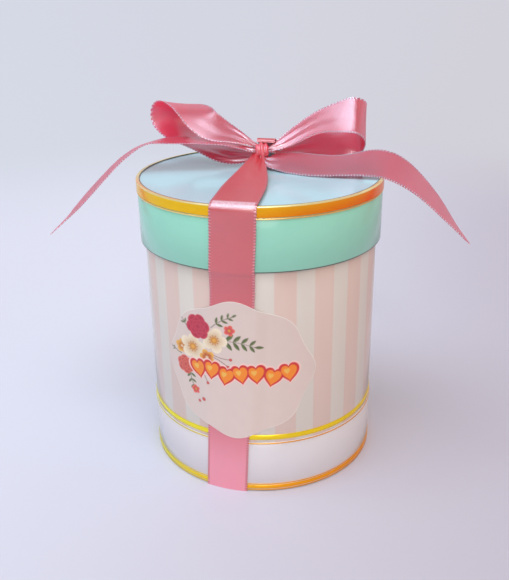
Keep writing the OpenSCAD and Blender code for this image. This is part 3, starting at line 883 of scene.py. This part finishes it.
def striped_paper():
    """Cream and pink stripes by the angle round the box."""
    mat = gloss_paper("striped_paper")
    where, xyz = mat.place()
    angle = mat.math("ARCTAN2", xyz[0], mat.math("MULTIPLY", xyz[1], -1.0))
    start = 0.5 - STRIPE_CENTRE * STRIPE_COUNT / 360
    turns = mat.math("MULTIPLY_ADD", angle, STRIPE_COUNT / (2 * pi), start)
    phase = mat.math("FRACT", mat.math("ADD", turns, STRIPE_COUNT))
    off_centre = mat.math("ABSOLUTE", mat.math("SUBTRACT", phase, 0.5))
    cream_part = mat.spread(off_centre, (PINK_SHARE - STRIPE_SOFT) / 2, (PINK_SHARE + STRIPE_SOFT) / 2)
    wash = mat.noise(mat.node("Mapping", {"Vector": where, "Scale": WASH_STRETCH}), WASH_SCALE, 3.0)
    pink = mat.mixed(wash, rgb(214, 190, 178), rgb(221, 198, 187))
    cream = mat.mixed(wash, rgb(212, 204, 193), rgb(219, 212, 203))
    mat.set(Base_Color=mat.mixed(cream_part, pink, cream))
    return mat


# Clouds in the plain papers and in the label's print, and how far these darken and lighten it
PAPER_CLOUDS, PRINT_CLOUDS = 70.0, 260.0
PRINT_SHADES = (0.97, 1.03)


def plain_paper(name, colour, other):
    """A laminated paper of one colour, faintly uneven."""
    mat = gloss_paper(name)
    cloud = mat.noise(mat.place()[0], PAPER_CLOUDS, 3.0)
    mat.set(Base_Color=mat.mixed(cloud, colour, other))
    return mat


# Height of the painted dark line of shade along the bottom of the lid, where the lid meets the body
MINT_SHADE_LINE_H = 0.4


def darken_below(mat, level, colour):
    """Another colour below a height in millimetres."""
    _, xyz = mat.place()
    paper = mat.shader.inputs["Base Color"].links[0].from_socket
    mat.set(Base_Color=mat.mixed(mat.step(xyz[2], level, 0.1), colour, paper))


# Foil: how much of its look is mirror, the rest being the scatter of its pressed surface; the drift of
# its tone across the box, partly random and partly a painted reflection from the left colour to the right
# one, and where that ends; its scuffs, its roughness and its relief
FOIL_MIRROR = 0.65
FOIL_TONE_AND_LIGHT_DRIFT, FOIL_TONE_AND_LIGHT_DRIFTED = 14.0, 1.15
SCUFF_SCALE, SCUFF_STRETCH = 240.0, (1.0, 1.0, 6.0)
SCUFF_SHADES = (0.9, 1.1)
FOIL_ROUGHNESS = (0.16, 0.3)
FOIL_BUMP = (0.15, 0.0002)


def gold_foil(name, left, right, sink=0.0, level=0.0):
    """Bright stamped foil, faintly scuffed along its length, its tone drifting across the box, partly at
    random and partly as a painted reflection from the left colour to the right one, and, as fast as sink
    says, deepening below a level."""
    mat = Material(name)
    where, xyz = mat.place()
    stretched = mat.node("Mapping", {"Vector": where, "Scale": SCUFF_STRETCH})
    scuff = mat.noise(stretched, SCUFF_SCALE, 4.0)
    # Painted reflection: the tone turns from the left colour to the right one across the box, with a
    # random drift on top
    across = mat.math("MULTIPLY_ADD", xyz[0], FOIL_TONE_AND_LIGHT_DRIFT, mat.noise(where, FOIL_TONE_AND_LIGHT_DRIFT, 1.0))
    if sink:
        across = mat.math("ADD", across, mat.math("MULTIPLY_ADD", xyz[2], -sink, sink * level * MM))
    foil = mat.mixed(mat.spread(across, 0.0, FOIL_TONE_AND_LIGHT_DRIFTED), left, right)
    worn = mat.node("HueSaturation", {"Color": foil, "Value": mat.ramp(scuff, *SCUFF_SHADES)})
    mat.set(Base_Color=worn, Roughness=mat.ramp(scuff, *FOIL_ROUGHNESS), Metallic=FOIL_MIRROR)
    mat.bump(scuff, *FOIL_BUMP)
    return mat


# The rim's foil: the width of its painted dark line of shade where it ends on the lid's top, the height
# of its painted highlight on the shoulder, and how fast its tone deepens from what depth
RIM_SHADE_LINE_W, RIM_HIGHLIGHT_H = 0.35, 0.35
RIM_SINK, RIM_SINK_DEPTH = 110.0, 2.4


def rim_foil():
    """The rim's foil: a painted highlight on its shoulder, and a painted dark line of shade where it ends
    on the lid's top.
    """
    ends = rgb(252, 200, 26), rgb(255, 124, 10)
    mat = gold_foil("rim_foil", *ends, RIM_SINK, BOX_H - RIM_SINK_DEPTH)
    _, xyz = mat.place()
    flat = mat.node("CombineXYZ", {"X": xyz[0], "Y": xyz[1]})
    r = mat.node("VectorMath", {0: flat}, operation="LENGTH").outputs["Value"]
    # Painted shade: a dark, dull line where the foil ends on the lid's top
    inner = mat.step(r, LID_R - RIM_LIP_W + RIM_SHADE_LINE_W, 0.15)
    # Painted highlight: a paler colour over the foil's shoulder
    shoulder = mat.step(xyz[2], BOX_H - RIM_HIGHLIGHT_H, 0.3)
    foil = mat.shader.inputs["Base Color"].links[0].from_socket
    pale = mat.mixed(shoulder, foil, rgb(255, 240, 168))
    dull = mat.ramp(inner, 0.0, FOIL_MIRROR)
    mat.set(Base_Color=mat.mixed(inner, rgb(104, 92, 58), pale), Metallic=dull)
    return mat


# Card: fineness of its fibres and clouds, at which values fibres turn darker, and its relief
FIBRE_SCALE, CARD_CLOUDS = 1500.0, 90.0
DARK_FIBRES = (0.67, 0.77)
CARD_BUMP = (0.4, 0.0002)


def board():
    """White lined card with a fine tooth and a few darker fibres."""
    mat = Material("board")
    where, _ = mat.place()
    fibre = mat.noise(where, FIBRE_SCALE, 4.0)
    cloud = mat.noise(where, CARD_CLOUDS, 2.0)
    tint = mat.mixed(cloud, rgb(236, 232, 224), rgb(244, 241, 235))
    dark = mat.spread(fibre, *DARK_FIBRES)
    mat.set(Base_Color=mat.mixed(dark, tint, rgb(214, 207, 195)), Roughness=0.8)
    mat.bump(fibre, *CARD_BUMP)
    return mat


# Satin: its threads, clouds, ribs and bound edges, shallow dents over the whole, and its relief
THREAD_SCALE, THREAD_STRETCH = 1700.0, (1.0, 0.6, 1.0)
SILK_CLOUDS = 140.0
RIB_PITCH, RIB_SHARE = 0.5, 0.15
BOUND_EDGE, BOUND_SOFT = 6.7, 0.4
CRUMPLE_SCALE, CRUMPLE_H = 110.0, 6.0
SATIN_BUMP = (0.5, 0.0001)
# The table's light painted onto the silk as a paler colour near the foot: its colour, how high it
# reaches, and over what height it fades
PAINTED_TABLE_LIGHT = rgb(238, 132, 152)
PAINTED_TABLE_LIGHT_H, PAINTED_TABLE_LIGHT_FADE = 22.0, 30.0
# A painted highlight where the lid's straps bend over the rim, a paler colour standing in for the light's
# shine there: from how far above the bend's start and in from its outside, how softly, how strongly, and
# in what colour
FOLD_HIGHLIGHT_RISE, FOLD_HIGHLIGHT_RISE_SOFT = 1.2, 1.4
FOLD_HIGHLIGHT_W, FOLD_HIGHLIGHT_W_SOFT = 3.2, 1.6
FOLD_HIGHLIGHT_STRENGTH = (0.3, 1.0)
FOLD_HIGHLIGHT_TINT = rgb(255, 226, 240)


def satin(name, silks, bound_shades, roughness, ior, sheen, glow, depth):
    """Rose satin: shining threads and bound edges, with the table's light painted in as paler colour near
    the table and a painted highlight where the lid's straps bend over the rim. glow and depth say how
    much light passes through it where nothing lies behind."""
    mat = Material(name)
    uv = mat.node("UVMap", uv_map="UVMap").outputs[0]
    xy = mat.node("SeparateXYZ", {0: uv}).outputs
    _, xyz = mat.place()
    grain = mat.noise(mat.node("Mapping", {"Vector": uv, "Scale": THREAD_STRETCH}), THREAD_SCALE, 2.0)
    rib, weft = (
        mat.math("SINE", mat.math("MULTIPLY", xy[1], 2 * pi / (pitch * MM)))
        for pitch in (RIB_PITCH, TOOTH_PITCH)
    )
    edge = mat.step(mat.math("ABSOLUTE", xy[0]), BOUND_EDGE, BOUND_SOFT)
    silk = mat.mixed(mat.noise(uv, SILK_CLOUDS, 2.0), *silks)
    # Painted light: the silk turns paler near the table
    silk = mat.mixed(mat.step(xyz[2], PAINTED_TABLE_LIGHT_H, PAINTED_TABLE_LIGHT_FADE), PAINTED_TABLE_LIGHT, silk)
    # Painted highlight: paler colour over the lid's straps where they bend over the rim
    bend = mat.math(
        "MULTIPLY",
        mat.step(xyz[2], BEND_Z + FOLD_HIGHLIGHT_RISE, FOLD_HIGHLIGHT_RISE_SOFT),
        mat.step(mat.math("ABSOLUTE", xyz[1]), BEND_R - FOLD_HIGHLIGHT_W, FOLD_HIGHLIGHT_W_SOFT),
    )
    painted_fold_highlight = mat.math("MULTIPLY", bend, mat.ramp(grain, *FOLD_HIGHLIGHT_STRENGTH))
    silk = mat.mixed(painted_fold_highlight, silk, FOLD_HIGHLIGHT_TINT)
    bound = mat.mixed(mat.ramp(weft, 0.0, 1.0), *bound_shades)
    mat.set(
        Base_Color=mat.mixed(edge, silk, bound), Roughness=mat.ramp(grain, *roughness),
        Anisotropic=0.5, Specular_IOR_Level=1.0, Specular_Tint=sheen, IOR=ior,
        Subsurface_Weight=glow, Subsurface_Radius=(1.0, 0.3, 0.4), Subsurface_Scale=depth,
    )
    crumple = mat.noise(uv, CRUMPLE_SCALE, 1.0)
    threads = mat.math("MULTIPLY_ADD", rib, RIB_SHARE, grain)
    height = mat.math("ADD", threads, mat.math("MULTIPLY", edge, weft))
    mat.bump(mat.math("MULTIPLY_ADD", crumple, CRUMPLE_H, height), *SATIN_BUMP)
    mat.set(Tangent=mat.node("Tangent", direction_type="UV_MAP", uv_map="UVMap"))
    return mat


def printed_paper():
    mat = gloss_paper("label_paper", LABEL_ROUGHNESS)
    cloud = mat.noise(mat.place()[0], PRINT_CLOUDS, 3.0)
    printed = mat.node("VertexColor", layer_name="print").outputs["Color"]
    faded = mat.node("HueSaturation", {"Color": printed, "Value": mat.ramp(cloud, *PRINT_SHADES)})
    mat.set(Base_Color=faded)
    return mat


def dress(obj, material):
    obj.data.materials.clear()
    obj.data.materials.append(material.data)


BOARD = board()
STRIPES = striped_paper()
BAND_PAPER = plain_paper("band_paper", rgb(211, 206, 209), rgb(218, 213, 216))
MINT = plain_paper("mint_paper", rgb(146, 213, 188), rgb(156, 221, 197))
# Painted shade: a dark line along the lid's lower edge, where it meets the body
darken_below(MINT, LID_LOW + MINT_SHADE_LINE_H, rgb(92, 104, 92))
# The lid top's paper: its own mint, made paler and bluer than the side's as a painted reflection of the
# pale room
TOP_MINT_PAINTED_PALER = plain_paper("mint_top_paper_painted_paler", rgb(178, 224, 234), rgb(185, 230, 240))
TOP_MINT_PAINTED_PALER.set(IOR=1.8)
RIM_GOLD = rim_foil()
LINE_GOLD = gold_foil("line_foil", rgb(255, 226, 150), rgb(244, 196, 112))
FOOT_GOLD = gold_foil("foot_foil", rgb(246, 232, 62), rgb(255, 164, 12))
LEMON = gold_foil("waist_foil", rgb(250, 236, 60), rgb(255, 218, 36))
LABEL_PAPER = printed_paper()
# The bow and the straps are one ribbon in two copies of its satin: the bow's brighter colour is painted
# light and the straps' darker colour painted shade
BOW_SATIN_PAINTED_LIGHTER = satin(
    "bow_satin_painted_lighter", (rgb(250, 52, 70), rgb(255, 62, 80)), (rgb(190, 60, 84), rgb(255, 206, 218)),
    (0.26, 0.38), 2.4, (0.84, 0.92, 1.0, 1.0), 1.0, 0.003,
)
STRAP_SATIN_PAINTED_DARKER = satin(
    "strap_satin_painted_darker", (rgb(200, 34, 46), rgb(208, 44, 56)), (rgb(184, 50, 60), rgb(236, 130, 146)),
    (0.28, 0.4), 2.1, (0.9, 0.86, 0.86, 1.0), 0.3, 0.0004,
)

for node in ("body_tube", "base_disc", "lid_tube", "lid_disc"):
    dress(frame["nodes"][node], BOARD)


def put(obj, material, body, node):
    """Finishes a piece: its material, its body and the CAD node that it stands for."""
    dress(obj, material)
    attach(obj, body)
    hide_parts(node)


# The softened outer edges of the strips of paper and foil, and of the thicker foil line
STRIP_BEVEL = 0.06
LINE_BEVEL = 0.1


def wrap(name, node, r_in, r_out, material, body, bevel=STRIP_BEVEL):
    """A paper or foil strip round the box in place of its CAD node."""
    outline = band_outline(r_in, r_out, low(node)[2], high(node)[2], bevel)
    put(turned(name, outline, SEAM_W), material, body, node)


wrap("striped_wrap", "body_wrap", TUBE_R, BODY_R, STRIPES, "box_body")
wrap("foot_band", "base_band", BODY_R, BAND_R, BAND_PAPER, "box_body")
wrap("waist_band", "waist_gold_band", BODY_R, BAND_R, LEMON, "box_body")
wrap("waist_line", "waist_gold_line", BAND_R, FOIL_R, FOOT_GOLD, "box_body")
wrap("foot_foil", "foot_gold_band", BAND_R, FOIL_R, FOOT_GOLD, "box_body")
wrap("mint_side", "lid_side_wrap", LID_CARD_R, LID_R, MINT, "lid")
wrap("rim_line", "lid_gold_line", LID_R, RIM_R, LINE_GOLD, "lid", LINE_BEVEL)
dress(frame["nodes"]["foot_gold_lines"], FOOT_GOLD)
put(turned("rim_foil", rim_outline()), RIM_GOLD, "lid", "lid_gold_band")
put(lid_top("mint_top"), TOP_MINT_PAINTED_PALER, "lid", "lid_top_paper")
put(label("printed_label"), LABEL_PAPER, "box_body", "label")
put(knot("bow_knot"), BOW_SATIN_PAINTED_LIGHTER, "lid", "knot")

# Where the lid's straps meet the knot: outward, height, sideways, and their share of width there
FRONT_END = (KNOT[1] - KNOT_D / 2, KNOT[2] - KNOT_H / 4, KNOT[0] - KNOT_W / 8, 0.3)
BACK_END = (KNOT[1] + KNOT_D / 2, KNOT[2] + KNOT_H * 0.6, KNOT[0] + KNOT_W / 5, 0.45)


# Stretched straps take the darker copy of the satin, painted shade; the bow's loops and tails take the
# brighter copy, painted light
def ribbon(obj, node, body, held):
    put(obj, STRAP_SATIN_PAINTED_DARKER if held == "stretched" else BOW_SATIN_PAINTED_LIGHTER, body, node)


for name, side, node in (("ribbon_front", -1, "strap_front"), ("ribbon_back", 1, "strap_back")):
    ribbon(body_strap(name, side), node, "box_body", "stretched")
ribbon(under_strap("ribbon_under"), "strap_under", "box_body", "stretched")
for name, side, place, node in (
    ("lid_ribbon_front", -1, FRONT_END, "lid_strap_front"),
    ("lid_ribbon_back", 1, BACK_END, "lid_strap_back"),
):
    ribbon(lid_strap(name, side, *place), node, "lid", "stretched")
for name, table, reach, cut, pleats, node, held in (
    ("loop_left", LOOP_LEFT, LOOP_LEFT_REACH, 0.0, 1.0, "bow_loop_left", "gathered"),
    ("loop_right", LOOP_RIGHT, LOOP_RIGHT_REACH, 0.0, 1.0, "bow_loop_right", "gathered"),
    ("tail_left_end", TAIL_LEFT, TAIL_LEFT_REACH, TAIL_CUT, 1.0, "tail_left", "hung"),
    ("tail_right_end", TAIL_RIGHT, TAIL_RIGHT_REACH, -TAIL_CUT, TAIL_RIGHT_PLEATS, "tail_right", "hung"),
):
    ribbon(bow_ribbon(name, table, reach, cut, pleats), node, "lid", held)


# Colours from left to right, with the places (floor) or directions between which they turn; the floor's
# darker, warmer right is painted shade
FLOOR_PAINTED_SHADE_TINTS, FLOOR_PAINTED_SHADE_TURN = (rgb(219, 223, 235), rgb(186, 179, 190)), (-0.12, 0.22)
BACKDROP_TINTS, BACKDROP_TURN = (rgb(214, 219, 232), rgb(209, 206, 214)), (-0.9, 0.5)
ROOM_TINTS, ROOM_TURN = (rgb(222, 236, 252), rgb(244, 208, 174)), (-0.7, 0.7)

# Size of the floor, the ring over which it fades into the plain background, and its clouds
FLOOR_REACH = 30000.0
FLOOR_FADE = (260.0, 620.0)
FLOOR_CLOUDS, FLOOR_CLOUDINESS = 3.0, 0.04


def backdrop(mat, direction):
    """The plain background's colour in a direction, a little cooler on the left."""
    x = mat.node("SeparateXYZ", {0: direction}).outputs[0]
    return mat.mixed(mat.spread(x, *BACKDROP_TURN), *BACKDROP_TINTS)


def floor():
    """A pale floor that takes the shadow and fades into the background, with painted shade darkening it
    towards the right.
    """
    corners = [[-1, -1, 0], [1, -1, 0], [1, 1, 0], [-1, 1, 0]]
    obj = make_object("floor", np.array(corners) * FLOOR_REACH, [[0, 1, 2, 3]])
    mat = Material("floor")
    where, xyz = mat.place()
    cloud = mat.noise(where, FLOOR_CLOUDS, 2.0)
    aside = mat.math("MULTIPLY_ADD", cloud, FLOOR_CLOUDINESS, xyz[0])
    # Painted shade: the floor turns darker and warmer towards the right
    mat.set(Base_Color=mat.mixed(mat.spread(aside, *FLOOR_PAINTED_SHADE_TURN), *FLOOR_PAINTED_SHADE_TINTS), Roughness=0.7)
    away = mat.node("VectorMath", {0: where}, operation="LENGTH").outputs["Value"]
    fade = mat.spread(away, FLOOR_FADE[0] * MM, FLOOR_FADE[1] * MM)
    direction = mat.node("VectorMath", {0: where}, operation="NORMALIZE").outputs[0]
    glow = mat.node("Emission", {"Color": backdrop(mat, direction), "Strength": 1.0})
    faded = mat.math("MULTIPLY", fade, mat.looked_at())
    shown = mat.node("MixShader", {0: faded, 1: mat.shader, 2: glow})
    mat.put(mat.tree.nodes["Material Output"], "Surface", shown)
    dress(obj, mat)


def softbox(name, azimuth, elevation, breadth, strength, colour):
    """A broad soft lamp far away, from a direction: azimuth 0 is the front, 90 the right."""
    data = bpy.data.lights.new(name, "SUN")
    data.energy = strength
    data.angle = radians(breadth)
    data.color = colour
    obj = linked(name, data)
    a, e = radians(azimuth), radians(elevation)
    towards = Vector((sin(a) * cos(e), -cos(a) * cos(e), sin(e)))
    obj.rotation_euler = towards.to_track_quat("Z", "Y").to_euler()


# The lamps: name, azimuth, elevation, breadth in degrees, strength and colour
LAMPS = (
    ("key", 14, 35, 10, 0.62, (1.0, 0.98, 0.96)),
    ("low_front", 18, 13, 26, 0.38, (1.0, 0.98, 0.96)),
    ("window_left", -50, 65, 40, 0.96, (0.8, 0.86, 1.0)),
    ("window_front", 32, 62, 34, 0.94, (0.84, 0.88, 1.0)),
    ("cool_fill", -60, 24, 40, 0.1, (0.8, 0.9, 1.0)),
    ("warm_fill", 75, 18, 50, 0.2, (1.0, 0.66, 0.34)),
)

# The pale room's light from its dim side to its bright one, and the turn between them
ROOM_DIM, ROOM_BRIGHT = 0.32, 0.66
ROOM_BRIGHT_SIDE, ROOM_BRIGHT_TURN = (-0.35, 0.50, 0.79), (-0.5, 0.9)
# The dim room overhead and behind the camera, as gloss shows it, against the backdrop's light
ROOM_MIRRORED = 0.4
MIRRORED_TILT, MIRRORED_TURN = -0.6, (-0.1, 0.4)


def world():
    """A pale room; the camera sees the backdrop alone, and gloss the backdrop and a dim room."""
    sky = Material("studio", bpy.data.worlds, "Background")
    bpy.context.scene.world = sky.data
    direction = sky.node("TexCoord").outputs["Generated"]
    x, y, z = sky.node("SeparateXYZ", {0: direction}).outputs
    towards = {0: direction, 1: ROOM_BRIGHT_SIDE}
    bright = sky.node("VectorMath", towards, operation="DOT_PRODUCT").outputs["Value"]
    sky.set(
        Color=sky.mixed(sky.spread(x, *ROOM_TURN), *ROOM_TINTS),
        Strength=sky.ramp(sky.spread(bright, *ROOM_BRIGHT_TURN), ROOM_DIM, ROOM_BRIGHT),
    )
    behind = sky.math("MULTIPLY_ADD", z, MIRRORED_TILT, y)
    mirrored = sky.ramp(sky.spread(behind, *MIRRORED_TURN), ROOM_MIRRORED, 1.0)
    lit = sky.math("MAXIMUM", sky.node("LightPath").outputs["Is Camera Ray"], mirrored)
    plain = sky.node("Background", {"Color": backdrop(sky, direction), "Strength": lit})
    shown = sky.node("MixShader", {0: sky.looked_at(), 1: sky.shader, 2: plain})
    sky.put(sky.tree.nodes["World Output"], "Surface", shown)
    bpy.context.scene.view_settings.view_transform = "Standard"


# The camera, fitted to the photograph: place in millimetres, angles to the left, down and of
# tilt in degrees, and focal length and picture height in pixels
CAMERA_PLACE = (64.78, -250.49, 167.9)
CAMERA_TURN = 15.07
CAMERA_PITCH = 22.66
CAMERA_ROLL = -0.98
FOCAL_PX = 748.0
IMAGE_H = 580


def camera():
    data = bpy.data.cameras.new("camera")
    data.lens = FOCAL_PX * data.sensor_width / IMAGE_H
    data.clip_start, data.clip_end = 0.01, 10.0
    obj = linked("camera", data)
    obj.matrix_world = Matrix.Translation(Vector(CAMERA_PLACE) * MM)
    for angle, axis in ((CAMERA_TURN, "Z"), (90 - CAMERA_PITCH, "X"), (CAMERA_ROLL, "Z")):
        obj.matrix_world = obj.matrix_world @ Matrix.Rotation(radians(angle), 4, axis)
    bpy.context.scene.camera = obj


floor()
world()
for lamp in LAMPS:
    softbox(*lamp)
camera()
